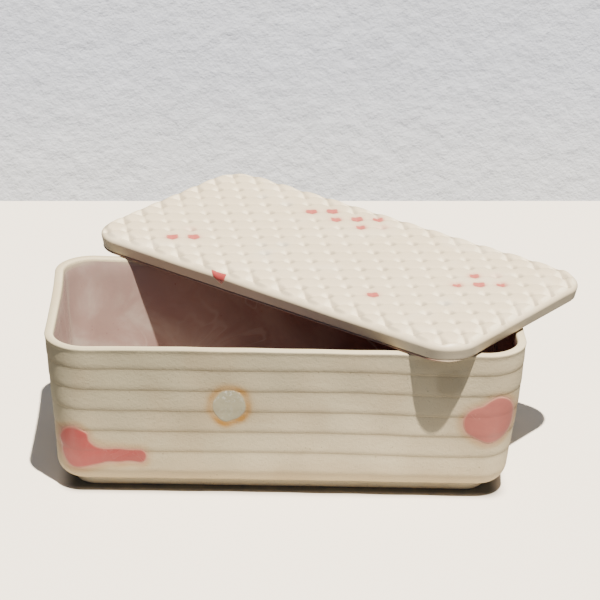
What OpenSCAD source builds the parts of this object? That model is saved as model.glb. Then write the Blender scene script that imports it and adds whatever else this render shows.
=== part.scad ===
// Lidded bobbin box of fired clay: a banded box with rounded corners, glazed inside, and a
// loose slab lid with a field of low domes, which lies turned across the rim.
// Lengths are in millimetres, Z is up, and the origin is the middle of the foot's underside.

/* [Box] */
// Length of the box across its rim
box_l = 210; // [150:1:260]
// Width of the box across its rim
box_w = 105; // [90:1:150]
// Height of the box from the table to the rim
box_h = 71.5; // [66:0.5:110]
// Radius of the upright corners at the rim
corner_r = 19; // [18:0.5:30]
// Thickness of the wall
wall_t = 4; // [3:0.1:5.5]
// How far the wall leans in between the rim and the bend at its foot
wall_lean = 4.2; // [1:0.1:6]
// Rounding of the two edges of the rim
rim_round = 0.9; // [0.3:0.1:1.3]

/* [Bands] */
// Number of bands above the lowest one
band_n = 5; // [3:1:5]
// Height of one band
band_h = 10.1; // [6:0.1:10.8]
// How far a band swells between its two edges
band_swell = 0.5; // [0.2:0.1:1.2]
// How far the top of a band lies behind the edge that laps over it
band_lap = 0.4; // [0.2:0.1:1]

/* [Base] */
// Radius of the bend under the lowest band
bend_r = 8.5; // [5:0.5:10]
// Radius of the bend between the wall and the floor, inside
inner_bend_r = 7; // [3:0.5:9]
// Thickness of the floor above the foot
floor_t = 3.5; // [3:0.5:7]
// Height of the foot
foot_h = 5; // [2:0.1:6]
// Width of the flat ledge between the bend and the foot
foot_step = 1.9; // [1:0.1:3]
// Radius of the foot's corners
foot_r = 7.5; // [6:0.5:9]
// How far the foot reaches under the wall, past the joint with the floor
foot_lap = 1.5; // [1:0.1:2.5]

/* [Lid] */
// Length of the lid
lid_l = 207; // [206:0.5:214]
// Width of the lid
lid_w = 107; // [104:0.5:112]
// Thickness of the lid's slab without its domes
lid_t = 6; // [4:0.5:9]
// Radius of the lid's corners
lid_r = 16; // [12:0.5:22]
// Rounding of the lid's upper edge
lid_round = 1.8; // [0.8:0.1:2.4]
// Rounding of the lid's lower edge
lid_under_round = 1.2; // [0.5:0.1:1.5]
// Depth of the locating ring under the lid
ring_h = 2.2; // [1.5:0.1:5]
// Width of the locating ring
ring_w = 6; // [4:0.5:10]
// Play between the locating ring and the inside of the rim, on every side
ring_play = 1.5; // [0.5:0.1:2.5]

/* [Domes] */
// Distance between neighbouring columns of domes, along the lid
dome_step_x = 7.3; // [6:0.1:10]
// Distance between neighbouring rows of domes, across the lid
dome_step_y = 6.7; // [6:0.1:10]
// How far the pattern is moved along the lid
dome_shift_x = 1.8; // [-5:0.1:5]
// How far the pattern is moved across the lid
dome_shift_y = 1.5; // [-5:0.1:5]
// Height of a dome
dome_h = 1.1; // [0.6:0.1:1.6]
// Bare strip between the footprints of two neighbouring domes
dome_gap = 0.3; // [0.2:0.1:1.5]
// Bare strip between the outermost domes and the rounding of the edge
dome_margin = 0.2; // [0.2:0.1:3]

/* [Resting place of the lid] */
// Turn of the lid across the box, in degrees
lid_turn = -38.5; // [-42:0.5:-34]
// How far the lid's middle lies towards the box's right end
lid_shift_x = 23; // [15:0.5:30]
// How far the lid's middle lies towards the back
lid_shift_y = 39; // [30:0.5:42]
// Clearance between the locating ring and the rim
seat_gap = 0.1; // [0.05:0.05:0.3]

/* [Glaze] */
// Thickness of the glaze inside
glaze_t = 0.5; // [0.3:0.1:0.8]
// Width of the bare clay between the rim and the glaze inside
glaze_drop = 1.6; // [1.4:0.1:4]
// Thickness of the glaze marks on the wall and the lid
mark_t = 0.6; // [0.5:0.1:0.9]
// Radius of the round ash-glaze mark
ash_r = 8.4; // [4:0.1:12]
// Radius of the round pink mark
blob_r = 10.6; // [6:0.1:13]
// How far the middle of the round pink mark lies from the right end
blob_in = 16.7; // [15:0.1:40]
// Radius of the head of the long pink mark
boot_r = 8; // [5:0.1:10]
// How far the middle of that head lies from the left end
boot_in = 13.6; // [12:0.1:40]
// Length of the long pink mark, from the middle of its head to its tip
boot_l = 32; // [18:0.5:60]
// Thickness of the tail of the long pink mark
boot_tail = 6.4; // [4:0.1:9]
// Radius of the glaze that fills a pit between four domes
pit_r = 2.9; // [2.2:0.1:3.2]
// Length of the drip on the lid's edge
drip_l = 11; // [6:0.5:18]

/* [Hidden] */

clay_colour = [0.79, 0.74, 0.66];
lid_colour = [0.88, 0.85, 0.79];
inside_colour = [0.62, 0.47, 0.42];
pink_colour = [0.85, 0.42, 0.39];
ash_colour = [0.72, 0.70, 0.63];

round_fn = 72;   // facets of a full turn, for previews only
band_steps = 5;  // straight steps down one band
bend_steps = 6;  // straight steps round a bend
edge_steps = 3;  // straight steps round a small edge
slack = 0.5;     // how far a cutting shape reaches past what it cuts

// Levels of the box
bend_top = foot_h + bend_r;
floor_top = foot_h + floor_t;
low_band_top = box_h - band_n * band_h;
inner_bend_top = floor_top + inner_bend_r;

// Distances behind the outline of the rim, positive inwards
function lean(z) = wall_lean * (box_h - z) / (box_h - bend_top);
inner_bend_in = wall_t + lean(inner_bend_top) + inner_bend_r;
foot_in = wall_lean + bend_r + foot_step;
joint_in = max(foot_in + foot_lap, inner_bend_in + slack);

// Levels and places of the lid
ring_l = box_l - 2 * (wall_t + ring_play);
ring_wide = box_w - 2 * (wall_t + ring_play);
ring_r = corner_r - wall_t - ring_play;
lid_z = box_h + seat_gap + ring_h;
dome_pitch = norm([dome_step_x, dome_step_y]);
dome_r = (dome_pitch - dome_gap) / 2;
dome_sphere_r = (dome_r * dome_r + dome_h * dome_h) / (2 * dome_h);
dome_sink = 0.04;
dome_in = dome_r + dome_margin + lid_round;

// Middles of the glaze marks on the front wall, from the box's middle and from the table
ash_place = [-23.8, 46.2];
blob_place = [box_l / 2 - blob_in, 40];
boot_place = [boot_in - box_l / 2, 25];
boot_drop = 6;     // the tail runs this far below the middle of the head
head_end = 215;    // angle at which the round outline of the head ends
heel_start = 205;  // angle at which the outline of the heel takes over
// Pits of the lid that hold glaze, as steps of the dome pattern along and across the lid
pits = [
  [-10, -6], [-9, -5], [-6, 4], [-5, 5], [-4, 4], [-3, 5], [-2, 4], [-2, 6], [5, -5],
  [8, 0], [8, 2], [9, 1], [10, 2]
];
drip_x = -25;

// Points round a quarter circle about a centre, from one angle to another
function arc_points(centre, r, from, to, steps) = [
  for (i = [0:steps]) let (a = from + (to - from) * i / steps) centre + r * [cos(a), sin(a)]
];

function reversed(list) = [for (i = [len(list) - 1:-1:0]) list[i]];

// Outer face of one band from its top to its foot, with its lap and an extra thickness
function band_points(top, foot, lap, extra) = [
  for (i = [0:band_steps])
    let (t = i / band_steps, z = top + (foot - top) * t)
    [extra - lean(z) - lap * (1 - t) * (1 - t) + band_swell * sin(180 * t), z]
];

// Outer face of all bands, from the rim's rounding down to the start of the bend
function banded_points(lap, extra) = [
  for (k = [0:band_n])
    let (
      top = k == 0 ? box_h - rim_round : box_h - k * band_h,
      foot = k == band_n ? bend_top : box_h - (k + 1) * band_h
    )
    each band_points(top, foot, k == 0 ? 0 : lap, extra)
];

// Round bend under the lowest band
function bend_points(extra) =
  arc_points([-wall_lean - bend_r, bend_top], bend_r + extra, 0, -90, bend_steps);

// Inner face from a level down the wall and round to the floor, moved in by a thickness
function inner_points(top, inset) = concat(
  [[-wall_t - lean(top) - inset, top]],
  arc_points([-inner_bend_in, inner_bend_top], inner_bend_r - inset, 0, -90, bend_steps)
);

// A profile carried round a rounded rectangle: x = 0 lies on the outline, y is the height
module carried(l, w, r) {
  for (q = [0:3]) {
    turned = q % 2 == 1;
    reach = (turned ? w : l) / 2;
    run = (turned ? l : w) - 2 * r;
    rotate(90 * q) {
      translate([reach, run / 2, 0]) rotate([90, 0, 0]) linear_extrude(run) children();
      translate([reach - r, run / 2, 0])
        rotate_extrude(angle = 90, $fn = round_fn) translate([r, 0]) children();
    }
  }
}

// Flat slab with the plan of a rounded rectangle
module plain_slab(l, w, r, h) {
  linear_extrude(h) {
    square([l - 2 * r, w], center = true);
    square([l, w - 2 * r], center = true);
    for (x = [-1, 1], y = [-1, 1])
      translate([x * (l / 2 - r), y * (w / 2 - r)]) circle(r, $fn = round_fn);
  }
}

module wall() {
  color(clay_colour) carried(box_l, box_w, corner_r) polygon(concat(
    arc_points([-rim_round, box_h - rim_round], rim_round, 90, 0, edge_steps),
    banded_points(band_lap, 0),
    bend_points(0),
    [[-joint_in, foot_h], [-joint_in, floor_top]],
    reversed(inner_points(box_h - rim_round, 0)),
    arc_points([rim_round - wall_t, box_h - rim_round], rim_round, 180, 90, edge_steps)
  ));
}

module floor_slab() {
  color(clay_colour) {
    plain_slab(box_l - 2 * foot_in, box_w - 2 * foot_in, foot_r, foot_h);
    translate([0, 0, foot_h])
      plain_slab(box_l - 2 * joint_in, box_w - 2 * joint_in, corner_r - joint_in, floor_t);
  }
}

module inner_glaze() {
  top = box_h - glaze_drop;
  middle_in = corner_r - slack;
  color(inside_colour) {
    carried(box_l, box_w, corner_r) polygon(concat(
      inner_points(top, 0),
      [[-middle_in, floor_top], [-middle_in, floor_top + glaze_t]],
      reversed(inner_points(top, glaze_t))
    ));
    translate([middle_in - box_l / 2, middle_in - box_w / 2, floor_top])
      cube([box_l - 2 * middle_in, box_w - 2 * middle_in, glaze_t]);
  }
}

// Glaze that lies on the front wall inside a flat outline drawn in X and Z
module wall_mark() {
  intersection() {
    carried(box_l, box_w, corner_r) polygon(concat(
      banded_points(band_lap, 0),
      bend_points(0),
      reversed(bend_points(mark_t)),
      reversed(banded_points(band_lap * 0.4, mark_t))
    ));
    rotate([90, 0, 0]) linear_extrude(box_w) children();
  }
}

module ash_mark() {
  color(ash_colour) wall_mark() translate(ash_place) circle(ash_r, $fn = round_fn);
}

module pink_blob() {
  color(pink_colour) wall_mark() translate(blob_place) circle(blob_r, $fn = round_fn);
}

module pink_boot() {
  tail_y = -boot_drop;
  tail_r = boot_tail / 2;
  web_fall = tail_y + tail_r;
  color(pink_colour) wall_mark() translate(boot_place) polygon(concat(
    arc_points([0, 0], boot_r, 0, head_end, 2 * bend_steps),
    arc_points([0, tail_y], tail_r + 1, heel_start, 270, edge_steps),
    arc_points([boot_l - tail_r, tail_y], tail_r, -90, 90, bend_steps),
    [for (t = [1:-0.25:0.25]) [boot_r * (1 + 0.9 * t), web_fall * (1 - (1 - t) * (1 - t))]]
  ));
}

// Puts what is drawn from the middle of the lid's underside where the lid lies
module on_lid() {
  translate([lid_shift_x, lid_shift_y, lid_z]) rotate(lid_turn) children();
}

// Distance of a point of the lid's plan outside the lid's outline, negative inside
function outside_lid(p) =
  let (d = [abs(p.x) - lid_l / 2 + lid_r, abs(p.y) - lid_w / 2 + lid_r])
  norm([max(d.x, 0), max(d.y, 0)]) + min(max(d.x, d.y), 0) - lid_r;

// A step of the dome pattern, as a place on the lid
function pattern_place(a, b) =
  [(a + 0.5) * dome_step_x + dome_shift_x, (b + 0.5) * dome_step_y + dome_shift_y];

// The rounded outer edge of the lid, grown by a thickness, as far in as a given depth
function lid_edge_points(extra) = concat(
  arc_points([-lid_under_round, lid_under_round], lid_under_round + extra, -90, 0, edge_steps),
  arc_points([-lid_round, lid_t - lid_round], lid_round + extra, 0, 90, edge_steps)
);

module dome() {
  intersection() {
    translate([0, 0, dome_h - dome_sphere_r]) sphere(dome_sphere_r, $fn = round_fn);
    translate([0, 0, -dome_sink]) cylinder(r = dome_pitch / 2, h = dome_h + slack, $fn = round_fn);
  }
}

module lid_slab() {
  steps_x = ceil(lid_l / dome_step_x / 2);
  steps_y = ceil(lid_w / dome_step_y / 2);
  color(lid_colour) on_lid() {
    carried(lid_l, lid_w, lid_r)
      polygon(concat([[-lid_r, 0]], lid_edge_points(0), [[-lid_r, lid_t]]));
    translate([lid_r - lid_l / 2, lid_r - lid_w / 2, 0])
      cube([lid_l - 2 * lid_r, lid_w - 2 * lid_r, lid_t]);
    for (a = [-steps_x:steps_x], b = [-steps_y:steps_y]) {
      place = pattern_place(a, b);
      if ((a + b) % 2 != 0 && outside_lid(place) < -dome_in)
        translate([place.x, place.y, lid_t]) dome();
    }
  }
}

module lid_ring() {
  color(pink_colour) on_lid() translate([0, 0, -ring_h]) difference() {
    plain_slab(ring_l, ring_wide, ring_r, ring_h);
    translate([0, 0, -slack])
      plain_slab(ring_l - 2 * ring_w, ring_wide - 2 * ring_w, ring_r - ring_w, ring_h + 2 * slack);
  }
}

// Glaze between four domes, up to half the height of the domes
module pit_glaze() {
  color(pink_colour) on_lid() for (pit = pits) {
    place = pattern_place(pit.x, pit.y);
    translate([place.x, place.y, lid_t]) difference() {
      cylinder(r = pit_r, h = dome_h / 2, $fn = round_fn);
      for (side = [-1, 1]) {
        translate([side * dome_step_x, 0, dome_h - dome_sphere_r]) sphere(dome_sphere_r, $fn = round_fn);
        translate([0, side * dome_step_y, dome_h - dome_sphere_r]) sphere(dome_sphere_r, $fn = round_fn);
      }
    }
  }
}

// Run of glaze down the lid's front edge, tapered to its lower end
module edge_drip() {
  color(pink_colour) on_lid() intersection() {
    carried(lid_l, lid_w, lid_r)
      polygon(concat(lid_edge_points(0), reversed(lid_edge_points(mark_t))));
    translate([drip_x, 0, 0]) rotate([90, 0, 0]) linear_extrude(lid_w) polygon([
      [-drip_l / 2, lid_t + 2 * mark_t], [-drip_l / 3, lid_t / 2], [0, lid_t / 6], [drip_l / 3, lid_t / 4],
      [drip_l / 2, lid_t * 0.6], [drip_l / 3, lid_t + 2 * mark_t]
    ]);
  }
}

wall();
floor_slab();
inner_glaze();
ash_mark();
pink_blob();
pink_boot();
lid_slab();
lid_ring();
pit_glaze();
edge_drip();
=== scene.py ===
"""Clay, glaze and studio for a lidded bobbin box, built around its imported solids.

Sizes in the property groups are in metres. The making functions work in millimetres, in the
frame of the box: X along its length, -Y out of its front wall, Z up, zero under its foot.
"""

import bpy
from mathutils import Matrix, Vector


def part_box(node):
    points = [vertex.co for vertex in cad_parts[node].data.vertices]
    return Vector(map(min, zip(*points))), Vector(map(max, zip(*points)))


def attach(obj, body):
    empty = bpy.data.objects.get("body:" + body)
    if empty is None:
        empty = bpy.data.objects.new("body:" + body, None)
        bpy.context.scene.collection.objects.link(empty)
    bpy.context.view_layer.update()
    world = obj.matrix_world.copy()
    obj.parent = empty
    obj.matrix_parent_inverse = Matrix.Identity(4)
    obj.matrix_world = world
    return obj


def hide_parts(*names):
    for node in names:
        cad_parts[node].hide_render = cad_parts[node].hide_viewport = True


bl_info = {
    "name": "Bobbin box",
    "version": (1, 0, 0),
    "blender": (4, 5, 0),
    "location": "3D View > Sidebar > Bobbin box",
    "description": "Builds the clay, the glaze and the studio of a lidded bobbin box",
    "category": "Object",
}

import math
from types import SimpleNamespace

import bpy
import numpy as np
from bpy.props import FloatProperty, FloatVectorProperty, IntProperty, PointerProperty
from mathutils import Matrix, Vector

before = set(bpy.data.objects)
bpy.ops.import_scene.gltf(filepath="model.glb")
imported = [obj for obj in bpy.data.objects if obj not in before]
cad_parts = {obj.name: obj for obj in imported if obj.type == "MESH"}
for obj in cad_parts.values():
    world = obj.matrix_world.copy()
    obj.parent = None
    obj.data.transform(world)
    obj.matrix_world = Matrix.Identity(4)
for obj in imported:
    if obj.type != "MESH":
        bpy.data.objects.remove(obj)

MM = 1000.0
ROOT2 = math.sqrt(2.0)
FOOT, RIM = ((corner * MM).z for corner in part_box("wall"))
FLOOR = (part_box("floor_slab")[1] * MM).z
LID_LOW, LID_HIGH = (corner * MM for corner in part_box("lid_slab"))
RING_LOW, RING_HIGH = (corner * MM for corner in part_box("lid_ring"))
BOX_STEPS = (150, 60, 12)
LID_PLACE = np.array([(LID_LOW.x + LID_HIGH.x) / 2, (LID_LOW.y + LID_HIGH.y) / 2, LID_LOW.z])


# -------- sizes and colours


def number(name, text, value, **kind):
    return FloatProperty(name=name, description=text, default=value, **kind)


def length(name, text, value):
    return number(name, text, value, unit="LENGTH", precision=5)


def angle(name, text, degrees):
    return number(name, text, math.radians(degrees), subtype="ANGLE")


def vector(name, text, value, **kind):
    return FloatVectorProperty(name=name, description=text, default=value, **kind)


def colour(name, text, value):
    return vector(name, text, value, subtype="COLOR", min=0.0, max=1.0)


class BobbinBoxSizes(bpy.types.PropertyGroup):
    box_l: length("Box length", "Length across the rim", 0.210)
    box_w: length("Box width", "Width across the rim", 0.105)
    corner_r: length("Corner radius", "Radius of the upright corners at the rim", 0.019)
    wall_t: length("Wall", "Thickness of the wall", 0.004)
    wall_lean: length("Lean", "Lean of the wall above its bend", 0.0042)
    rim_round: length("Rim rounding", "Rounding of both edges of the rim", 0.0009)
    set_back: length("Set-back", "Room outside the wall for its bands", 0.0003)
    band_h: length("Band height", "Height of one band", 0.0101)
    band_swell: length("Band swell", "Swell of a band over its lower edge", 0.00016)
    band_lap: length("Band lap", "Lap of a band over the one below", 0.00002)
    rim_bead: length("Rim bead", "Swell of the rim over the first band", 0.00022)
    bend_r: length("Bend", "Radius of the bend under the lowest band", 0.0085)
    inner_bend_r: length("Inner bend", "Radius between wall and floor inside", 0.007)
    foot_step: length("Foot step", "Ledge between the bend and the foot", 0.0019)
    foot_r: length("Foot corners", "Radius of the corners of the foot", 0.0095)
    bow_long: length("Long bow", "Bow of the long walls at their middles", 0.0015)
    bow_end: length("End bow", "Bow of the end walls at their middles", 0.0012)
    tuck_right: length("Right tuck", "Pull at the foot of the right end", 0.0015)
    tuck_left: length("Left tuck", "Pull at the foot of the left end", 0.0010)
    foot_reach: length("Foot reach", "Reach of the foot at its left end", 0.0016)
    wobble: length("Wobble", "Unevenness of the hand-built surfaces", 0.00022)
    lining_t: length("Lining", "Thickness of the glaze inside", 0.0005)
    lining_drop: length("Bare rim", "Clay left bare under the rim inside", 0.0010)
    band_n: IntProperty(name="Bands", description="Bands above the lowest one", default=5)


class BobbinLidSizes(bpy.types.PropertyGroup):
    lid_l: length("Lid length", "Length of the lid", 0.207)
    lid_w: length("Lid width", "Width of the lid", 0.107)
    lid_t: length("Slab", "Thickness of the slab without its domes", 0.006)
    lid_r: length("Lid corners", "Radius of the lid's corners", 0.016)
    upper_round: length("Upper edge", "Rounding of the upper edge", 0.0024)
    draft: length("Draft", "Draw of the side towards its bottom", 0.0010)
    skirt: length("Skirt", "Reach of the side below the slab", 0.0011)
    lip: length("Lip", "Height of the lip under the long sides", 0.00095)
    step_x: length("Columns", "Distance between columns of domes", 0.0073)
    step_y: length("Rows", "Distance between rows of domes", 0.0067)
    shift_x: length("Shift along", "Place of the pattern along the lid", 0.0018)
    shift_y: length("Shift across", "Place of the pattern across the lid", 0.0015)
    dome_h: length("Dome height", "Height of a dome above the pits", 0.0011)
    ring_w: length("Ring width", "Width of the locating ring", 0.006)
    ring_play: length("Ring play", "Play of the ring inside the rim", 0.0015)
    ring_round: length("Ring rounding", "Rounding of the ring's lower edges", 0.0006)
    turn: angle("Turn", "Turn of the lid across the box", -38.5)


class BobbinGlazeLook(bpy.types.PropertyGroup):
    clay: colour("Clay", "Bare buff stoneware", (0.42, 0.365, 0.235))
    # Paler clay; low on the wall and on the foot it is painted bounce light from the table.
    clay_pale_and_painted_light: colour("Pale clay", "Paler clay, and painted bounce light low on the wall and on the foot", (0.75, 0.64, 0.425))
    clay_warm: colour("Warm clay", "Clay flushed by the kiln", (0.44, 0.31, 0.175))
    # Dark clay of specks and stains; along the grooves between bands it is painted shade.
    clay_dark_and_groove_shade: colour("Dark clay and groove shade", "Dark clay of specks and stains, and painted shade in the grooves", (0.20, 0.155, 0.095))
    grit: colour("Grit", "Fine grains in the clay", (0.27, 0.225, 0.165))
    lid_clay: colour("Lid glaze", "Pale satin glaze of the lid", (0.66, 0.555, 0.38))
    # Painted shade: darkens the lid's pits and the left side of each dome.
    lid_painted_shade: colour("Lid shade", "Painted shade in the pits and on the left of each dome", (0.33, 0.28, 0.205))
    lid_cloud: colour("Lid clouds", "Lid glaze where it lies in clouds", (0.70, 0.64, 0.52))
    # Painted light: lightens the right side of each dome.
    lid_painted_light: colour("Lid lights", "Painted light on the right of each dome", (0.92, 0.82, 0.60))
    lid_smudge: colour("Lid smudges", "Grey smudges on the lid", (0.45, 0.44, 0.42))
    # Painted shade down the lid's side, most on the long sides.
    lid_side_shade: colour("Lid side", "Painted shade down the side of the lid", (0.42, 0.36, 0.26))
    lid_lip: colour("Lid lip", "Bare clay at the bottom of the side", (0.36, 0.25, 0.14))
    inside: colour("Inside glaze", "Dusky pink glaze of the inside", (0.315, 0.215, 0.185))
    inside_pale: colour("Inside veins", "Pale veins and clouds of the inside", (0.49, 0.44, 0.37))
    # Darker inside glaze for pinholes and specks; by the deep mask it is painted shade.
    inside_dark_and_shade: colour("Inside dark and shade", "Darker inside glaze, and painted shade where the inside lies in shade", (0.160, 0.052, 0.046))
    pink: colour("Pink glaze", "Pink of the marks", (0.395, 0.068, 0.061))
    pink_pale: colour("Pale pink", "Pink where the glaze thins", (0.50, 0.20, 0.155))
    # Deeper pink; down the drip on the lid's side it is painted shade.
    pink_deep_and_shade: colour("Deep pink", "Deeper pink, and painted shade down the drip", (0.25, 0.030, 0.030))
    pink_edge: colour("Pink edge", "Edge of the pink glaze on the clay", (0.52, 0.30, 0.19))
    ochre: colour("Ochre", "Flush round the marks", (0.40, 0.20, 0.042))
    ash: colour("Ash glaze", "Grey-green of the round mark", (0.39, 0.365, 0.245))
    ash_fleck: colour("Ash fleck", "White flecks of the round mark", (0.80, 0.79, 0.73))
    mark_t: length("Mark thickness", "Thickness of the glaze marks", 0.00014)
    pool_t: length("Pool thickness", "Thickness of the glaze in the lid's pits", 0.00030)


class BobbinStudio(bpy.types.PropertyGroup):
    table: colour("Table", "Colour of the table", (0.93, 0.845, 0.73))
    table_patch: colour("Table patches", "Second colour of the table", (0.84, 0.76, 0.64))
    contact: colour("Contact shade", "Table close under the box", (0.034, 0.038, 0.038))
    table_near: colour("Near bounce", "Colour the table throws on the foot", (0.56, 0.52, 0.45))
    table_bounce: colour("Table bounce", "Colour it throws further off", (0.13, 0.125, 0.115))
    backdrop: colour("Backdrop", "Colour of the wall behind", (0.79, 0.83, 0.93))
    backdrop_patch: colour("Backdrop patches", "Second colour behind", (0.60, 0.63, 0.71))
    backdrop_low: colour("Backdrop foot", "Colour low on the wall behind", (0.98, 0.99, 1.0))
    backdrop_bounce: colour("Backdrop bounce", "Colour it throws on the box", (0.16, 0.165, 0.17))
    key_power: number("Key", "Power of the key lamp, W", 6560.0)
    key_size: length("Key size", "Width of the key lamp", 0.2)
    key_distance: length("Key distance", "Distance of the key lamp from the box", 12.0)
    key_from: vector(
        "Key from", "Direction to the key lamp", (0.115, -0.283, 1.0), subtype="DIRECTION"
    )
    key_colour: colour("Key colour", "Colour of the key lamp", (1.0, 0.93, 0.82))
    fill: number("Fill", "Strength of the soft light", 0.27)
    fill_colour: colour("Fill colour", "Colour of the soft light", (0.28, 0.51, 1.0))
    lens: number("Lens", "Focal length of the camera, mm", 167.1)
    aim: vector("Aim", "Point the camera aims at", (0.0064, -0.0002, 0.0735), unit="LENGTH")
    distance: length("Camera distance", "From the camera to the point it aims at", 1.2331)
    elevation: angle("Elevation", "Camera above the horizon", 23.55)
    azimuth: angle("Azimuth", "Camera round the box, 0 looks along +Y", -1.31)
    roll: angle("Roll", "Tilt of the camera about its view", 1.52)
    seam_y: length("Seam", "Distance of the wall behind", 0.305)
    seam_turn: angle("Seam turn", "Turn of the wall behind", 2.83)


def millimetres(group):
    """The values of a property group by name, with its lengths in millimetres."""
    values = {}
    for name in group.__annotations__:
        size = MM if group.bl_rna.properties[name].unit == "LENGTH" else 1
        values[name] = getattr(group, name) * size
    return SimpleNamespace(**values)


def box_sizes():
    return millimetres(bpy.context.scene.bobbin_box_sizes)


def lid_sizes():
    return millimetres(bpy.context.scene.bobbin_lid_sizes)


def glaze_look():
    return bpy.context.scene.bobbin_glaze_look


# -------- shapes in numbers


def smooth(low, high, x):
    t = np.clip((x - low) / (high - low), 0.0, 1.0)
    return t * t * (3.0 - 2.0 * t)


def waves(points, size, seed, count=7):
    """Gentle unevenness between about -1 and 1, whose bumps are about `size` apart."""
    rng = np.random.default_rng(seed)
    heading = rng.normal(size=(count, 3))
    heading /= np.linalg.norm(heading, axis=1)[:, None]
    pace = 2.0 * math.pi / (size * rng.uniform(0.8, 2.2, count))
    start = rng.uniform(0.0, 2.0 * math.pi, count)
    total = np.zeros(points.shape[:-1])
    for way, speed, phase in zip(heading, pace, start):
        total += np.sin(points @ way * speed + phase)
    return total / math.sqrt(count)


def flat_waves(x, y, size, seed):
    return waves(np.stack([x, y, np.zeros_like(x)], axis=-1), size, seed)


def axis_steps(half, radius, run_steps, corner_steps):
    """Places along one side of a rounded rectangle: a corner, a straight run, a corner."""
    straight = half - radius
    run = np.linspace(-straight, straight, run_steps + 1)
    corner = straight + radius * np.arange(1, corner_steps + 1) / corner_steps
    return np.concatenate([-corner[::-1], run, corner])


def rounded_grid(size, steps, inset=0.0):
    """Points that fill a rounded rectangle of length, width and radius, less an inset."""
    half, radius = np.array(size[:2]) / 2 - inset, size[2] - inset
    rows = [axis_steps(half[i], radius, steps[i], steps[2]) for i in (0, 1)]
    points = np.stack(np.meshgrid(*rows, indexing="ij"), axis=-1)
    over = np.maximum(np.abs(points) - (half - radius), 0.0)
    span = np.linalg.norm(over, axis=-1)
    share = np.where(span > 0, over.max(axis=-1) / np.where(span > 0, span, 1.0), 1.0)
    return np.sign(points) * (np.abs(points) - over + over * share[..., None])


def edge_order(count_x, count_y):
    """Indices of a grid's edge points, in order round the grid, seen from above."""
    index = np.arange(count_x * count_y).reshape(count_x, count_y)
    return np.concatenate([index[:-1, 0], index[-1, :-1], index[:0:-1, -1], index[0, :0:-1]])


def outline(size, steps, inset=0.0):
    """Points on the edge of such a grid, in order, and the directions that point out of it."""
    grid = rounded_grid(size, steps, inset)
    points = grid.reshape(-1, 2)[edge_order(*grid.shape[:2])]
    straight = np.array(size[:2]) / 2 - size[2]
    outward = points - np.clip(points, -straight, straight)
    return points, outward / np.linalg.norm(outward, axis=1)[:, None]


def arc(centre, radius, start, stop, steps):
    angles = np.radians(np.linspace(start, stop, steps + 1))
    return np.array(centre) + radius * np.stack([np.cos(angles), np.sin(angles)], axis=1)


def carried(plan, profile):
    """Carries a profile of (outward, height) round a plan; gives rings of points."""
    points, outward = plan
    flat = points[:, None, :] + outward[:, None, :] * profile[None, :, :1]
    height = np.broadcast_to(profile[None, :, 1:], flat.shape[:2] + (1,))
    return np.concatenate([flat, height], axis=2)


def grid_faces(rows, columns, first=0, wrap=(0, 0)):
    """Faces of a grid of points, which may go on from its last row or column to its first."""
    index = first + np.arange(rows * columns).reshape(rows, columns)
    index = np.pad(index, [(0, more) for more in wrap], mode="wrap")
    quads = [index[:-1, :-1], index[1:, :-1], index[1:, 1:], index[:-1, 1:]]
    return np.stack(quads, axis=-1).reshape(-1, 4)


def ring_faces(rows, columns, first=0, closed=0):
    """Faces between the rings of a carried profile, facing out where the profile runs down."""
    return grid_faces(rows, columns, first, (1, closed))[:, [0, 3, 2, 1]]


def new_object(name, data):
    made = bpy.data.objects.new(name, data)
    bpy.context.scene.collection.objects.link(made)
    return made


def make_piece(name, points, faces, body, node, material, masks, ngons=()):
    """Makes a smooth mesh of millimetre points, with masks, sets it under its body and hides its
    CAD part.
    """
    mesh = bpy.data.meshes.new(name)
    every = [tuple(int(i) for i in face) for face in [*faces, *ngons]]
    mesh.from_pydata((np.asarray(points).reshape(-1, 3) / MM).tolist(), [], every)
    mesh.validate()
    mesh.shade_smooth()
    for mask, values in masks.items():
        layer = mesh.attributes.new(mask, "FLOAT", "POINT")
        layer.data.foreach_set("value", np.asarray(values, np.float32).ravel())
    mesh.update()
    mesh.materials.append(material)
    piece = new_object(name, mesh)
    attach(piece, body)
    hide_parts(node)


# -------- the box in numbers


def lean(z, box):
    return box.wall_lean * (RIM - z) / (RIM - FOOT - box.bend_r)


def band_surface(z, box, shown=1.0):
    """Outward place of the banded wall at each height; `shown` below 1 softens the seams."""
    z = np.asarray(z, float)
    from_rim = np.maximum(RIM - z, 0.0)
    band = np.minimum(np.floor(from_rim / box.band_h), box.band_n)
    top = RIM - band * box.band_h
    low = band >= box.band_n
    bottom = np.where(low, FOOT + box.bend_r, top - box.band_h)
    t = np.clip((top - z) / (top - bottom), 0.0, 1.0)
    turn = 0.78
    rise = np.where(t < turn, t / turn, 1.0 - ((t - turn) / (1.0 - turn)) ** 2)
    rise = np.where(low, np.sin(math.pi / 2 * np.clip(t / turn, 0.0, 1.0)), rise)
    fall = (1.0 - rise) * box.band_swell * shown
    lap = box.band_lap * shown * ~low * smooth(0.25, 1.0, t)
    bead = box.rim_bead * smooth(2.6, 0.7, from_rim)
    return -lean(z, box) + box.band_swell - fall + lap + bead - box.set_back


def seam_nearness(z, box):
    """1 at a groove between two bands, fading out within two millimetres."""
    from_rim = RIM - z
    seam = np.clip(np.round(from_rim / box.band_h), 1, box.band_n)
    return np.exp(-(((from_rim - seam * box.band_h) / 0.95) ** 2))


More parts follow.
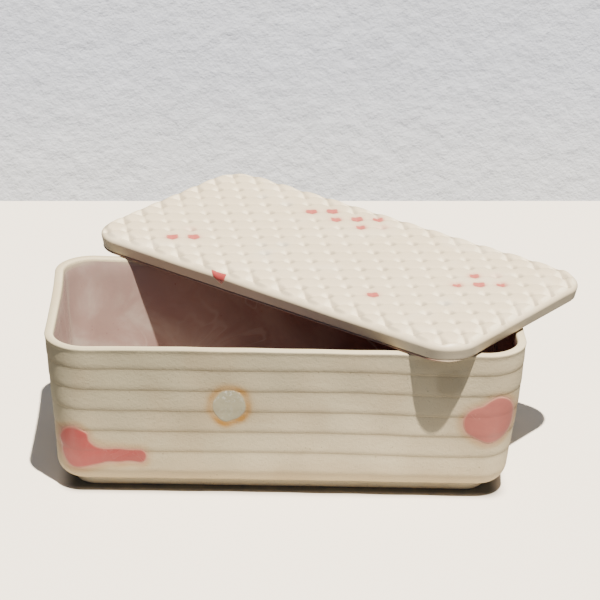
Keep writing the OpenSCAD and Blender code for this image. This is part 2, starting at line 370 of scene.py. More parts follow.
def outer_profile(box):
    """Wall from the rim's outer edge down the bands and round the bend to the foot."""
    rim_r, bend_top, beside = box.rim_round, FOOT + box.bend_r, 1e-4
    t = np.linspace(0.0, 1.0, 15)
    gathered = t - np.sin(2 * math.pi * t) / (2 * math.pi) * 0.8
    heights = []
    for band in range(box.band_n + 1):
        top = RIM - (band * box.band_h + beside if band else rim_r)
        last = band == box.band_n
        bottom = bend_top if last else RIM - (band + 1) * box.band_h + beside
        heights.append(top + (bottom - top) * gathered)
    z = np.concatenate(heights)
    bend_in = band_surface(bend_top, box) - box.bend_r
    return np.concatenate([
        arc((-rim_r, RIM - rim_r), rim_r, 90, 0, 4)[:-1],
        np.stack([band_surface(z, box), z], axis=1),
        arc((bend_in, bend_top), box.bend_r, 0, -90, 14)[1:],
    ])


def inner_bend_in(box):
    level = FLOOR + box.inner_bend_r
    return box.wall_t + lean(level, box) + box.inner_bend_r


def inner_profile(box, top, inset, steps):
    """Inner face of the wall from a level down and round to the floor."""
    centre = (-inner_bend_in(box), FLOOR + box.inner_bend_r)
    bend = arc(centre, box.inner_bend_r - inset, 0, -90, steps)
    level = np.linspace(top, bend[0, 1], 24, endpoint=False)
    straight = np.stack([-box.wall_t - lean(level, box) - inset, level], axis=1)
    return np.concatenate([straight, bend])


def by_hand(points, box):
    """Bows the walls in, tucks the ends and makes every surface of the box a little uneven."""
    p = np.array(points, float)
    x, y, z = p[..., 0], p[..., 1], p[..., 2]
    half_l, half_w = box.box_l / 2, box.box_w / 2
    free = smooth(0.0, 12.0, z) * 0.6 + 0.4
    low = smooth(46.0, 8.0, z)
    side = box.wobble * smooth(0.0, 10.0, z)
    moved = p.copy()
    # the walls bow less at the foot, which holds them
    moved[..., 1] -= y / half_w * box.bow_long * np.clip(1.0 - (x / half_l) ** 2, 0.0, 1.0) * free
    moved[..., 0] -= x / half_l * box.bow_end * np.clip(1.0 - (y / half_w) ** 2, 0.0, 1.0) * free
    moved[..., 0] -= box.tuck_right * low * smooth(60.0, half_l, x)
    moved[..., 0] += box.tuck_left * low * smooth(-60.0, -half_l, x)
    # the bands drift up and down, but neither the rim nor the foot does
    between = smooth(FOOT, FOOT + 14.0, z) * smooth(RIM + 0.1, RIM - 9.0, z)
    drift = waves(p * np.array([1.0, 1.0, 0.15]), 46.0, 11)
    moved[..., 2] += 2.0 * box.wobble * between * drift
    moved[..., 0] += side * waves(p, 24.0, 12)
    moved[..., 1] += side * waves(p, 24.0, 13)
    return moved


def rim_size(box):
    return box.box_l, box.box_w, box.corner_r


def front_face(x, z, box, shown):
    """Point of the front wall, round both front corners, seen straight from the front."""
    bend_top = FOOT + box.bend_r
    drop = np.clip(bend_top - z, 0.0, box.bend_r)
    round_in = box.bend_r - np.sqrt(box.bend_r**2 - drop**2)
    inset = round_in - band_surface(np.maximum(z, bend_top), box, shown)
    radius = box.corner_r - inset
    over = np.clip(np.abs(x) - (box.box_l / 2 - box.corner_r), 0.0, radius * 0.97)
    y = -(box.box_w / 2 - box.corner_r) - np.sqrt(radius**2 - over**2)
    return by_hand(np.stack([x, y, z], axis=-1), box)


# -------- outlines of the marks


def circle_gap(x, z, place, radius, seed, rough):
    """Distance outside a slightly uneven circle, negative inside."""
    away = np.hypot(x - place[0], z - place[1])
    return away - radius - rough * flat_waves(x, z, radius * 0.9, seed)


def capsule_gap(x, z, start, stop, radius_a, radius_b):
    """Distance outside a capsule that tapers from one end to the other."""
    ax, az = stop[0] - start[0], stop[1] - start[1]
    t = np.clip(((x - start[0]) * ax + (z - start[1]) * az) / (ax * ax + az * az), 0.0, 1.0)
    away = np.hypot(x - start[0] - t * ax, z - start[1] - t * az)
    return away - radius_a - (radius_b - radius_a) * t


def blended(a, b, blend):
    """Union of two outlines with a soft web between them."""
    h = np.clip(0.5 + 0.5 * (b - a) / blend, 0.0, 1.0)
    return b + (a - b) * h - blend * h * (1.0 - h)


ASH_PLACE, BLOB_PLACE, BOOT_PLACE = (-23.9, 44.7), (88.9, 39.2), (-91.6, 25.2)
BOOT_HEEL, BOOT_TIP = (-90.6, 18.6), (-62.4, 19.0)
STAIN_PLACE, STAIN_R = (70.5, 58.0), 6.0
DRIP_X = -27.0


def ash_gap(x, z):
    body = circle_gap(x, z, ASH_PLACE, 7.3, 21, 0.22)
    drop = circle_gap(x, z, (-25.1, 40.1), 3.4, 29, 0.1)
    return blended(body, drop, 1.4)


def blob_gap(x, z):
    upper = circle_gap(x, z, (92.1, 42.6), 7.7, 22, 0.3)
    lower = circle_gap(x, z, (90.3, 37.4), 9.2, 23, 0.3)
    left = circle_gap(x, z, (84.9, 38.6), 7.6, 37, 0.2)
    return blended(blended(upper, lower, 2.0), left, 2.0)


def boot_gap(x, z):
    head = circle_gap(x, z, BOOT_PLACE, 7.0, 24, 0.5)
    heel = circle_gap(x, z, BOOT_HEEL, 5.2, 25, 0.4)
    tail = capsule_gap(x, z, BOOT_HEEL, BOOT_TIP, 4.4, 3.0) + 0.35 * flat_waves(x, z, 8.0, 26)
    return blended(blended(head, heel, 4.0), tail, 6.5)


# -------- the lid in numbers


def dome_relief(x, y, lid):
    """How far each point lies from the top of its dome, up to 1, and how deep in a pit.

    Domes and pits alternate like the squares of a chessboard, and some pits are deeper.
    """
    a = (x + 0.3 * flat_waves(x, y, 34.0, 35) - lid.shift_x) / lid.step_x - 0.5
    b = (y + 0.3 * flat_waves(x, y, 34.0, 36) - lid.shift_y) / lid.step_y - 0.5
    p, q = (a + b) / 2.0, (a - b) / 2.0
    u, v = np.abs(p - np.floor(p) - 0.5), np.abs(q - np.floor(q) - 0.5)
    scrambled = np.sin(np.floor(p + 0.5) * 12.9898 + np.floor(q + 0.5) * 78.233) * 43758.5453
    uneven = np.modf(np.abs(scrambled))[0]
    away = ROOT2 * np.hypot(u, v)
    spread = math.hypot(lid.step_x, lid.step_y) * np.hypot(0.5 - u, 0.5 - v)
    pit = np.exp(-((spread / 1.9) ** 2)) * (0.5 + 0.5 * uneven)
    return away, pit


def dome_side(x, y, lid):
    """From 0 where a dome faces the right of the box to 1 where it faces the left."""
    reach, steepest = 0.3, 0.45
    right_x, right_y = reach * math.cos(lid.turn), -reach * math.sin(lid.turn)
    rise = lid_top(x + right_x, y + right_y, lid) - lid_top(x - right_x, y - right_y, lid)
    return 0.5 + 0.5 * np.clip(rise / (2 * reach * steepest), -1.0, 1.0)


def inside_lid(x, y, lid):
    """Distance inside the lid's outline."""
    dx = np.abs(x) - lid.lid_l / 2 + lid.lid_r
    dy = np.abs(y) - lid.lid_w / 2 + lid.lid_r
    outside = np.hypot(np.maximum(dx, 0.0), np.maximum(dy, 0.0))
    return lid.lid_r - outside - np.minimum(np.maximum(dx, dy), 0.0)


def lid_top(x, y, lid):
    """Height of the lid's upper face above its underside."""
    depth = inside_lid(x, y, lid)
    domed = smooth(0.3, lid.upper_round + 0.9, depth)
    away, pit = dome_relief(x, y, lid)
    border = smooth(15.0, 4.0, depth)
    valley = away ** (3.4 - 0.7 * border)
    sag = np.minimum(0.10 * flat_waves(x, y, 60.0, 31) - 0.03, 0.0) * domed
    relief = 1.0 - valley * (0.80 + 1.20 * border) - 0.75 * pit
    return lid.lid_t + lid.dome_h * domed * relief + sag


def lid_surface(x, y, lid):
    return np.stack([x, y, lid_top(x, y, lid)], axis=-1)


def on_lid(points, lid):
    """Takes points from the middle of the lid's underside to where the lid lies."""
    c, s = math.cos(lid.turn), math.sin(lid.turn)
    turned = np.array([[c, s, 0.0], [-s, c, 0.0], [0.0, 0.0, 1.0]])
    return np.asarray(points) @ turned + LID_PLACE


PITS = (
    (-10, -6, 1.0), (-9, -5, 1.0), (-10, -4, 0.3), (-6, 4, 1.0), (-5, 5, 1.0), (-4, 4, 0.85),
    (-3, 5, 1.0), (-2, 6, 0.9), (-2, 4, 0.85), (-1, 5, 0.45), (8, 2, 0.85), (8, 0, 0.75),
    (9, 1, 1.0), (10, 2, 0.75), (5, -5, 0.95), (9, 3, 0.3),
)
GREY_PITS = (
    (-4, -2, 0.9), (-4, -4, 1.0), (-5, -3, 0.5), (9, -3, 0.9), (-10, 4, 0.7), (-8, 4, 0.7),
)


def pit_places(pits, lid):
    """Places and strengths of pits that are given by column, row and strength."""
    for a, b, force in pits:
        yield (a + 0.5) * lid.step_x + lid.shift_x, (b + 0.5) * lid.step_y + lid.shift_y, force


def stained(x, y, pits, radius, fade, lid):
    """Strength of the stains in some pits: full within a radius and fading outside it."""
    total = np.zeros(x.shape)
    for a, b, force in pit_places(pits, lid):
        outside = np.maximum(np.hypot(x - a, y - b) - radius, 0.0)
        total = np.maximum(total, force * np.exp(-outside / fade))
    return total


# -------- closed skins of glaze


def glaze_skin(
    gap, place, spans, thick, name, body, node, material, step=0.35, bed=0.45, tint=0.0
):
    """A closed skin of glaze inside an outline, thick in the middle and thin at its edge.

    `gap(u, v)` is the distance outside the outline, and `place(u, v)` the surface it lies on.
    The skin's edge dips under that surface, so that the glaze seems to run out on it. `tint`
    is above 0 where the glaze is paler and below 0 where it is darker: a value, or a rule of (u,
    v).
    """
    u = np.arange(spans[0], spans[1] + step, step)
    v = np.arange(spans[2], spans[3] + step, step)
    grid_u, grid_v = np.meshgrid(u, v, indexing="ij")
    away = gap(grid_u, grid_v)
    base = place(grid_u, grid_v)
    out = np.cross(np.gradient(base, axis=0), np.gradient(base, axis=1))
    out /= np.linalg.norm(out, axis=2)[..., None]
    swell, dip, margin, fade = 1.4, 0.5, 0.6, 3.0
    depth = np.maximum(-away, 0.0)
    rise = thick * (1.0 - np.exp(-depth / swell)) - np.maximum(away, 0.0) * dip
    keep = away < margin
    cells = keep[:-1, :-1] & keep[1:, :-1] & keep[1:, 1:] & keep[:-1, 1:]
    quads = grid_faces(u.size, v.size)[cells.ravel()]
    used, compact = np.unique(quads, return_inverse=True)
    quads = compact.reshape(-1, 4)
    count = used.size
    sides = {(a, b): None for quad in quads.tolist() for a, b in zip(quad, quad[1:] + quad[:1])}
    walls = [(b, a, a + count, b + count) for a, b in sides if (b, a) not in sides]
    layers = (base + out * rise[..., None], base - out * bed)
    points = np.concatenate([layer.reshape(-1, 3)[used] for layer in layers])
    faces = np.concatenate([quads, quads[:, ::-1] + count, walls])
    tints = tint(grid_u, grid_v) if callable(tint) else np.full(away.shape, tint)
    masks = {"glaze_depth": np.clip(depth / fade, 0.0, 1.0), "tint": tints}
    masks = {mask: np.tile(values.ravel()[used], 2) for mask, values in masks.items()}
    make_piece(name, points, faces, body, node, material, masks)


# -------- shader helpers


def feed(tree, made, inputs):
    """Gives a node's inputs their values; a socket is linked, anything else is set."""
    for name, value in inputs.items():
        socket = made.inputs[name]
        if isinstance(value, bpy.types.NodeSocket):
            tree.links.new(value, socket)
        elif socket.type == "RGBA":
            socket.default_value = (*value, 1.0)
        else:
            socket.default_value = value


def node(tree, kind, inputs=None, **settings):
    made = tree.nodes.new(kind)
    for name, value in settings.items():
        setattr(made, name, value)
    feed(tree, made, inputs or {})
    return made


def maths(tree, operation, a, b=0.0, c=0.0):
    return node(tree, "ShaderNodeMath", {0: a, 1: b, 2: c}, operation=operation).outputs[0]


def ranged(tree, value, low, high, to_low=0.0, to_high=1.0):
    """Takes a value from one range to another, smoothly and without running over."""
    inputs = {0: value, 1: low, 2: high, 3: to_low, 4: to_high}
    return node(tree, "ShaderNodeMapRange", inputs, interpolation_type="SMOOTHSTEP").outputs[0]


def mixed(tree, share, a, b):
    return node(tree, "ShaderNodeMix", {0: share, 6: a, 7: b}, data_type="RGBA").outputs[2]


def here(tree):
    return node(tree, "ShaderNodeTexCoord").outputs["Object"]


def axes(tree, place):
    return node(tree, "ShaderNodeSeparateXYZ", {0: place}).outputs


def mask(tree, name):
    return node(tree, "ShaderNodeAttribute", attribute_name=name).outputs["Fac"]


def layered(tree, base, *layers):
    """Lays colours over a base. Each layer has a share, or a mask's name, that is multiplied by
    a strength to tell how much of its colour shows; below 0 it doesn't show.
    """
    for share, strength, over in layers:
        share = mask(tree, share) if isinstance(share, str) else share
        base = mixed(tree, maths(tree, "MULTIPLY", share, strength), base, over)
    return base


def cloud(tree, scale, detail, rough, warp=0.0, where=None):
    inputs = {"Scale": scale, "Detail": detail, "Roughness": rough, "Distortion": warp}
    inputs["Vector"] = where or here(tree)
    return node(tree, "ShaderNodeTexNoise", inputs).outputs["Fac"]


def spots(tree, scale, edge, chosen, where):
    """Round spots in some of the cells that a pattern has."""
    cells = node(tree, "ShaderNodeTexVoronoi", {"Vector": where, "Scale": scale}).outputs
    shape, some = ranged(tree, cells["Distance"], *edge), ranged(tree, cells["Color"], *chosen)
    return maths(tree, "MULTIPLY", shape, some)


def effect(tree, name, rule, scale):
    """Adds a shader node group, which is built by its rule at its first use."""
    group = bpy.data.node_groups.get(name)
    if group is None:
        group = bpy.data.node_groups.new(name, "ShaderNodeTree")
        given = group.interface.new_socket("Scale", in_out="INPUT", socket_type="NodeSocketFloat")
        given.default_value = 1.0
        start = group.nodes.new("NodeGroupInput")
        inputs = {"Vector": here(group), "Scale": start.outputs["Scale"]}
        place = node(group, "ShaderNodeVectorMath", inputs, operation="SCALE")
        outputs = rule(group, place.outputs[0])
        for label in outputs:
            group.interface.new_socket(label, in_out="OUTPUT", socket_type="NodeSocketFloat")
        feed(group, group.nodes.new("NodeGroupOutput"), outputs)
    return node(tree, "ShaderNodeGroup", {"Scale": scale}, node_tree=group).outputs


def clay_grain(tree, where):
    """Grog and specks of stoneware: soft patches, dark specks, pale grains and a fine height."""
    grit = cloud(tree, 1500.0, 2.0, 0.6, 0.0, where)
    coarse = cloud(tree, 520.0, 3.0, 0.6, 0.0, where)
    return {
        "Patches": cloud(tree, 38.0, 4.0, 0.6, 0.4, where),
        "Specks": spots(tree, 420.0, (0.20, 0.10), (0.80, 0.86), where),
        "Grains": ranged(tree, grit, 0.60, 0.74),
        "Height": maths(tree, "MULTIPLY_ADD", coarse, 0.6, maths(tree, "MULTIPLY", grit, 0.4)),
    }


def melted_glaze(tree, where):
    """Unevenness of a melted glaze: soft clouds, thin veins, pinholes and a gentle height."""
    folds = cloud(tree, 26.0, 3.0, 0.55, 0.7, where)
    ridge = maths(tree, "ABSOLUTE", maths(tree, "SUBTRACT", folds, 0.5))
    patchy = ranged(tree, cloud(tree, 12.0, 2.0, 0.5, 0.0, where), 0.42, 0.60)
    return {
        "Clouds": cloud(tree, 30.0, 4.0, 0.6, 0.8, where),
        "Veins": maths(tree, "MULTIPLY", ranged(tree, ridge, 0.018, 0.0), patchy),
        "Pinholes": spots(tree, 260.0, (0.10, 0.05), (0.88, 0.92), where),
        "Height": cloud(tree, 120.0, 2.0, 0.5, 0.0, where),
    }


def bump(tree, height, strength, distance):
    inputs = {"Height": height, "Strength": strength, "Distance": distance}
    return node(tree, "ShaderNodeBump", inputs).outputs[0]


def surface(name, constants):
    """A material with a Principled shader whose constants are set on the shader itself."""
    made = bpy.data.materials.new(name)
    made.use_nodes = True
    shader = made.node_tree.nodes["Principled BSDF"]
    for socket, value in constants.items():
        shader.inputs[socket].default_value = value
    return made, made.node_tree


def glazed(name, scale):
    """A glossy material with the grain of the clay and the unevenness of a glaze."""
    made, tree = surface(name, {"IOR": 1.5, "Specular IOR Level": 0.5})
    grain = effect(tree, "Clay grain", clay_grain, 1.0)
    return made, tree, grain, effect(tree, "Melted glaze", melted_glaze, scale)


def painted(made, base, rough, height, strength, distance):
    """Gives a material's shader its colour, its roughness and its bump."""
    tree = made.node_tree
    inputs = {"Base Color": base, "Roughness": rough}
    inputs["Normal"] = bump(tree, height, strength, distance)
    feed(tree, tree.nodes["Principled BSDF"], inputs)
    return made


# -------- materials


def clay_material():
    """Bare buff stoneware with grog, ochre flush round the marks, painted shade in the grooves
    and painted bounce light low down.
    """
    look = glaze_look()
    made, tree = surface("Buff stoneware", {"IOR": 1.45, "Specular IOR Level": 0.35})
    grain = effect(tree, "Clay grain", clay_grain, 1.0)
    base = layered(
        tree, look.clay,
        # Paler clay by the tone mask: its lift towards the bottom of the wall and on the foot is
        # painted bounce light.
        ("tone_and_painted_light", 1.0, look.clay_pale_and_painted_light),
        (ranged(tree, grain["Patches"], 0.40, 0.68), 0.22, look.clay_warm),
        ("warm", 0.45, look.clay_warm),
        # Painted shade along the grooves between the bands.
        ("groove", 0.32, look.clay_dark_and_groove_shade),
        ("flush", 0.95, look.ochre),
        ("pinked", 0.75, look.pink_pale),
        (grain["Specks"], 0.45, look.clay_dark_and_groove_shade),
        (grain["Grains"], 0.42, look.grit),
        ("stain", 0.30, look.clay_dark_and_groove_shade),
    )
    rough = ranged(tree, grain["Patches"], 0.3, 0.7, 0.62, 0.76)
    return painted(made, base, rough, grain["Height"], 0.8, 0.00028)


def lid_material():
    """Pale satin glaze with painted light on the right of each dome, and painted shade on its
    left, in the pits and down the side.
    """
    look = glaze_look()
    made, tree, grain, glaze = glazed("Pale satin glaze", 1.3)
    # Painted shade in the pits, set a little off each pit's centre on its side away from the key.
    pits = ranged(tree, mask(tree, "dome"), 0.80, 0.20)
    base = layered(
        tree, look.lid_clay,
        (pits, 0.35, look.lid_painted_shade),
        # Painted shade on the left of each dome and painted light on its right.
        (ranged(tree, mask(tree, "dome_light_and_shade"), 0.60, 0.98), 0.70, look.lid_painted_shade),
        (ranged(tree, mask(tree, "dome_light_and_shade"), 0.40, 0.02), 0.70, look.lid_painted_light),
        (ranged(tree, glaze["Clouds"], 0.5, 0.72), 0.22, look.lid_cloud),
        ("smudge", 0.35, look.lid_smudge),
        # Painted shade down the lid's side, most on the long sides.
        ("side", 0.60, look.lid_side_shade),
        ("under", 1.0, look.lid_lip),
        ("strip", 0.7, look.inside_dark_and_shade),
        ("blush", 0.8, look.pink_pale),
        (grain["Specks"], 0.25, look.clay_dark_and_groove_shade),
        (grain["Grains"], 0.08, look.clay_dark_and_groove_shade),
    )
    sheen = ranged(tree, glaze["Clouds"], 0.3, 0.7, 0.34, 0.50)
    height = maths(tree, "MULTIPLY_ADD", grain["Height"], 0.35, glaze["Height"])
    rough = maths(tree, "MULTIPLY_ADD", pits, -0.04, sheen)
    return painted(made, base, rough, height, 0.35, 0.0003)


def inside_material():
    """Dusky pink glaze with clouds and pale veins, darker in patches, with painted shade in the
    lower corners and towards the right end.
    """
    look = glaze_look()
    made, tree, grain, glaze = glazed("Dusky pink glaze", 1.0)
    base = layered(
        tree, look.inside,
        (ranged(tree, glaze["Clouds"], 0.38, 0.70), 0.55, look.inside_pale),
        # Painted shade towards the right end and in the lower corners, with uneven patches.
        ("deep", 0.8, look.inside_dark_and_shade),
        (glaze["Veins"], 0.32, look.inside_pale),
        (glaze["Pinholes"], 1.0, look.inside_dark_and_shade),
        ("bare", 1.0, look.clay),
        (grain["Specks"], 0.3, look.inside_dark_and_shade),
    )
    rough = ranged(tree, mask(tree, "bare"), 0.0, 1.0, 0.22, 0.7)
    return painted(made, base, rough, glaze["Height"], 0.25, 0.0004)


def pink_material():
    """Glossy pink glaze, paler where it thins, with a soft ochre edge."""
    look = glaze_look()
    made, tree, grain, glaze = glazed("Pink glaze", 2.2)
    base = layered(
        tree, look.pink,
        (ranged(tree, glaze["Clouds"], 0.42, 0.66), 0.18, look.pink_pale),
        ("tint", 1.0, look.pink_pale),
        # Deeper pink where the tint is below 0; down the drip's side this is painted shade.
        ("tint", -1.0, look.pink_deep_and_shade),
        (ranged(tree, mask(tree, "glaze_depth"), 0.30, 0.0), 0.6, look.pink_edge),
        (grain["Specks"], 0.35, look.inside_dark_and_shade),
    )
    rough = ranged(tree, glaze["Clouds"], 0.3, 0.7, 0.16, 0.30)
    return painted(made, base, rough, glaze["Height"], 0.3, 0.0003)


def ash_material():
    """Grey-green ash glaze with white flecks in its upper part and a soft ochre edge."""
    look = glaze_look()
    made, tree, grain, glaze = glazed("Ash glaze", 3.0)
    upper = ranged(tree, axes(tree, here(tree))[2], 0.045, 0.052, 0.15, 1.0)
    flecks = ranged(tree, cloud(tree, 620.0, 2.0, 0.7), 0.54, 0.66)
    flecks = maths(tree, "MULTIPLY", flecks, upper)
    base = layered(
        tree, look.ash,
        (ranged(tree, glaze["Clouds"], 0.4, 0.7), 0.5, look.clay),
        (flecks, 0.55, look.ash_fleck),
        (ranged(tree, mask(tree, "glaze_depth"), 0.16, 0.0), 0.6, look.ochre),
        (grain["Specks"], 0.4, look.clay_dark_and_groove_shade),
    )
    rough = ranged(tree, flecks, 0.0, 1.0, 0.28, 0.45)
    return painted(made, base, rough, glaze["Height"], 0.35, 0.0003)


# half the length and half the width of the box's body and of its foot, in metres
BODY_HALF = (0.100, 0.048)
FOOT_HALF = (0.089, 0.0375)


def staged(made, seen, thrown, inputs):
    """Gives a sheet the colour a camera sees and the one it throws; it is clear from behind."""
    tree = made.node_tree
    shader = tree.nodes["Principled BSDF"]
    camera_ray = node(tree, "ShaderNodeLightPath").outputs["Is Camera Ray"]
    feed(tree, shader, {"Base Color": mixed(tree, camera_ray, thrown, seen), **inputs})
    back = node(tree, "ShaderNodeNewGeometry").outputs["Backfacing"]
    clear = node(tree, "ShaderNodeBsdfTransparent").outputs[0]
    either = node(tree, "ShaderNodeMixShader", {0: back, 1: shader.outputs[0], 2: clear})
    feed(tree, tree.nodes["Material Output"], {"Surface": either.outputs[0]})
    return made


def table_material():
    """Pale table with a painted contact shadow close to the foot, that throws less light from
    further off.
    """
    look = bpy.context.scene.bobbin_studio
    made, tree = surface("Pale table", {"Roughness": 0.6, "Specular IOR Level": 0.3})
    away = node(tree, "ShaderNodeVectorMath", {0: here(tree)}, operation="ABSOLUTE").outputs[0]
    away = axes(tree, away)
    off_body = [maths(tree, "SUBTRACT", away[i], BODY_HALF[i]) for i in (0, 1)]
    off_foot = [maths(tree, "SUBTRACT", away[i], FOOT_HALF[i]) for i in (0, 1)]
    off_foot = [maths(tree, "MAXIMUM", off, 0.0) for off in off_foot]
    square = maths(tree, "MULTIPLY", off_foot[1], off_foot[1])
    square = maths(tree, "MULTIPLY_ADD", off_foot[0], off_foot[0], square)
    from_foot = maths(tree, "SQRT", square)
    base = layered(
        tree, look.table,
        (ranged(tree, cloud(tree, 6.0, 3.0, 0.5), 0.3, 0.7), 0.10, look.table_patch),
        # Painted contact shadow round the foot.
        (ranged(tree, from_foot, 0.0115, 0.002), 0.95, look.contact),
    )
    further = ranged(tree, maths(tree, "MAXIMUM", *off_body), 0.018, 0.045)
    thrown = mixed(tree, further, look.table_near, look.table_bounce)
    return staged(made, base, thrown, {})


def backdrop_material():
    """Plain wall behind, paler towards its foot."""
    look = bpy.context.scene.bobbin_studio
    made, tree = surface("Plain backdrop", {"Roughness": 0.9, "Specular IOR Level": 0.2})
    base = layered(
        tree, look.backdrop,
        (ranged(tree, cloud(tree, 22.0, 6.0, 0.62), 0.34, 0.66), 0.22, look.backdrop_patch),
        (ranged(tree, axes(tree, here(tree))[2], 0.09, -0.01), 0.8, look.backdrop_low),
    )
    uneven = bump(tree, cloud(tree, 95.0, 4.0, 0.65), 0.5, 0.0024)
    return staged(made, base, look.backdrop_bounce, {"Normal": uneven})


# -------- the operators


class BOBBIN_OT_wall(bpy.types.Operator):
    """Builds the banded clay wall"""

    bl_idname = "bobbin.wall"
    bl_label = "Banded wall"

    def execute(self, context):
        box = box_sizes()
        foot_in = box.wall_lean + box.bend_r + box.foot_step
        joint_in = max(foot_in + 1.5, inner_bend_in(box) + 0.5)
        rim_r, outer = box.rim_round, outer_profile(box)
        profile = np.concatenate([
            outer,
            [[-joint_in, FOOT], [-joint_in, FLOOR]],
            inner_profile(box, RIM - rim_r, 0.0, 12)[::-1],
            arc((rim_r - box.wall_t, RIM - rim_r), rim_r, 180, 90, 4)[1:],
        ])
        rings = carried(outline(rim_size(box), BOX_STEPS), profile)
        flat = rings.reshape(-1, 3)
        x, y, z = flat.T
        outside = np.tile(np.arange(len(profile)) < len(outer), len(rings))
        front = outside * smooth(-20.0, -34.0, y)
        flush, pinked = np.zeros(len(flat)), np.zeros(len(flat))
        below_right = np.cos(np.arctan2(z - ASH_PLACE[1], x - ASH_PLACE[0]) + 0.9)
        uneven = 1.0 + 0.22 * waves(flat, 7.0, 30)
        halo_off, halo_wide, glow_wide = 1.4, 1.7, 3.6
        for gap in (ash_gap, blob_gap, boot_gap):
            away = gap(x, z)
            full = 0.74 + 0.10 * below_right if gap is ash_gap else 0.36
            halo = 0.85 * np.exp(-(((away - halo_off) / halo_wide) ** 2))
            halo += 0.36 * np.exp(-np.abs(away) / glow_wide)
            flush = np.maximum(flush, np.where(away > -1.5, halo * full * uneven, 0.0))
            if gap is not ash_gap:
                pinked = np.maximum(pinked, np.exp(-np.maximum(away, 0.0) / 0.8))
        # Paler low on the wall and at the bend: painted bounce light from the table. Paler to the
        # right and in waves: the clay's own tone.
        tone_and_painted_light = 0.40 * smooth(74.0, 14.0, z) + 0.36 * smooth(-60.0, 44.0, x)
        tone_and_painted_light += 0.10 * smooth(16.0, 8.0, z) + 0.05 * waves(flat, 26.0, 33)
        stain = circle_gap(x, z, STAIN_PLACE, STAIN_R, 27, 0.6)
        masks = {
            # Painted shade along each groove between two bands.
            "groove": seam_nearness(z, box) * outside,
            "flush": flush * front,
            "warm": smooth(19.0, 5.5, z + 0.6 * waves(flat, 30.0, 28)) * outside,
            "stain": smooth(1.5, -1.5, stain) * front,
            "tone_and_painted_light": np.where(outside, tone_and_painted_light, 0.5),
            "pinked": pinked * front,
        }
        faces = ring_faces(*rings.shape[:2], closed=1)
        moved = by_hand(flat, box)
        make_piece("banded_wall", moved, faces, "box", "wall", clay_material(), masks)
        return {"FINISHED"}


class BOBBIN_OT_floor(bpy.types.Operator):
    """Builds the floor slab with the foot under it"""

    bl_idname = "bobbin.floor"
    bl_label = "Floor and foot"

    def execute(self, context):
        box = box_sizes()
        foot_in = 2 * (box.wall_lean + box.bend_r + box.foot_step)
        size = (box.box_l - foot_in, box.box_w - foot_in, box.foot_r)
        slab_in, soft = 3.5, 0.7
        # from the slab's upper face down past the wall's foot and in under the foot
        profile = np.concatenate([
            [[-slab_in, FLOOR - 0.05], [-slab_in, FOOT - 0.02], [0.5, FOOT - 0.02]],
            [[0.5, FOOT - 0.3], [0.42, 3.6], [0.3, 2.4], [0.12, 1.4], [0.0, 0.9]],
            arc((-soft, soft), soft, 0, -90, 5)[1:],
        ])
        rings = carried(outline(size, BOX_STEPS), profile)
        moved = by_hand(rings, box)
        moved[..., 0] -= box.foot_reach * smooth(-60.0, -88.0, moved[..., 0])
        moved[..., 2] = np.maximum(moved[..., 2], 0.0)
        index = np.arange(rings[..., 0].size).reshape(rings.shape[:2])
        z = rings[..., 2]
        masks = dict.fromkeys(("flush", "stain", "pinked"), np.zeros(z.shape))
        # The foot takes the palest clay all over: painted bounce light from the table.
        masks["tone_and_painted_light"] = np.ones(z.shape)
        masks["warm"] = smooth(2.0, 0.0, z)
        # Painted shade just under the bend, where the foot starts.
        masks["groove"] = smooth(FOOT - 0.6, FOOT, z)
        make_piece(
            "floor_and_foot", moved, ring_faces(*index.shape), "box", "floor_slab",
            bpy.data.materials["Buff stoneware"], masks, [index[:, 0], index[::-1, -1]],
        )
        return {"FINISHED"}


class BOBBIN_OT_lining(bpy.types.Operator):
    """Coats the inside with dusky pink glaze"""

    bl_idname = "bobbin.lining"
    bl_label = "Glaze inside"

    def execute(self, context):
        box = box_sizes()
        thick, top = box.lining_t, RIM - box.lining_drop
        profile = inner_profile(box, top, thick, 16)
        profile[:, 0] += (thick + 0.05) * smooth(top - 5.0, top, profile[:, 1]) ** 2
        rings = carried(outline(rim_size(box), BOX_STEPS), profile)
        grid = rounded_grid(rim_size(box), BOX_STEPS, inner_bend_in(box))
        floor = np.concatenate([grid, np.full(grid.shape[:2] + (1,), FLOOR + thick)], axis=2)
        rings[:, -1] = floor.reshape(-1, 3)[edge_order(*grid.shape[:2])]
        flat = np.concatenate([rings.reshape(-1, 3), floor.reshape(-1, 3)])
        x, y, z = flat.T
        from_wall = np.minimum(box.box_l / 2 - np.abs(x), box.box_w / 2 - np.abs(y))
        # Painted shade in the lower corners.
        corners = smooth(11.7, 0.0, from_wall) * smooth(FLOOR + 16.0, FLOOR + 2.0, z)
        # Painted shade towards the right end, where the lid shades the inside.
        away = smooth(-86.0, 30.0, x + 8.0 * waves(flat, 40.0, 43))
        uneven = 0.30 * waves(flat, 34.0, 42) * smooth(60.0, 20.0, z)
        masks = {
            "deep": np.clip(0.6 * corners + uneven + 0.9 * away, 0.0, 1.0),
            "bare": smooth(RIM - 1.9, RIM - 0.7, z + 0.5 * flat_waves(x, y, 22.0, 41)),
        }
        sides = ring_faces(*rings.shape[:2])[:, ::-1]
        bottom = grid_faces(*grid.shape[:2], first=rings[..., 0].size)
        make_piece(
            "glaze_inside", by_hand(flat, box), np.concatenate([sides, bottom]), "box",
            "inner_glaze", inside_material(), masks,
        )
        return {"FINISHED"}


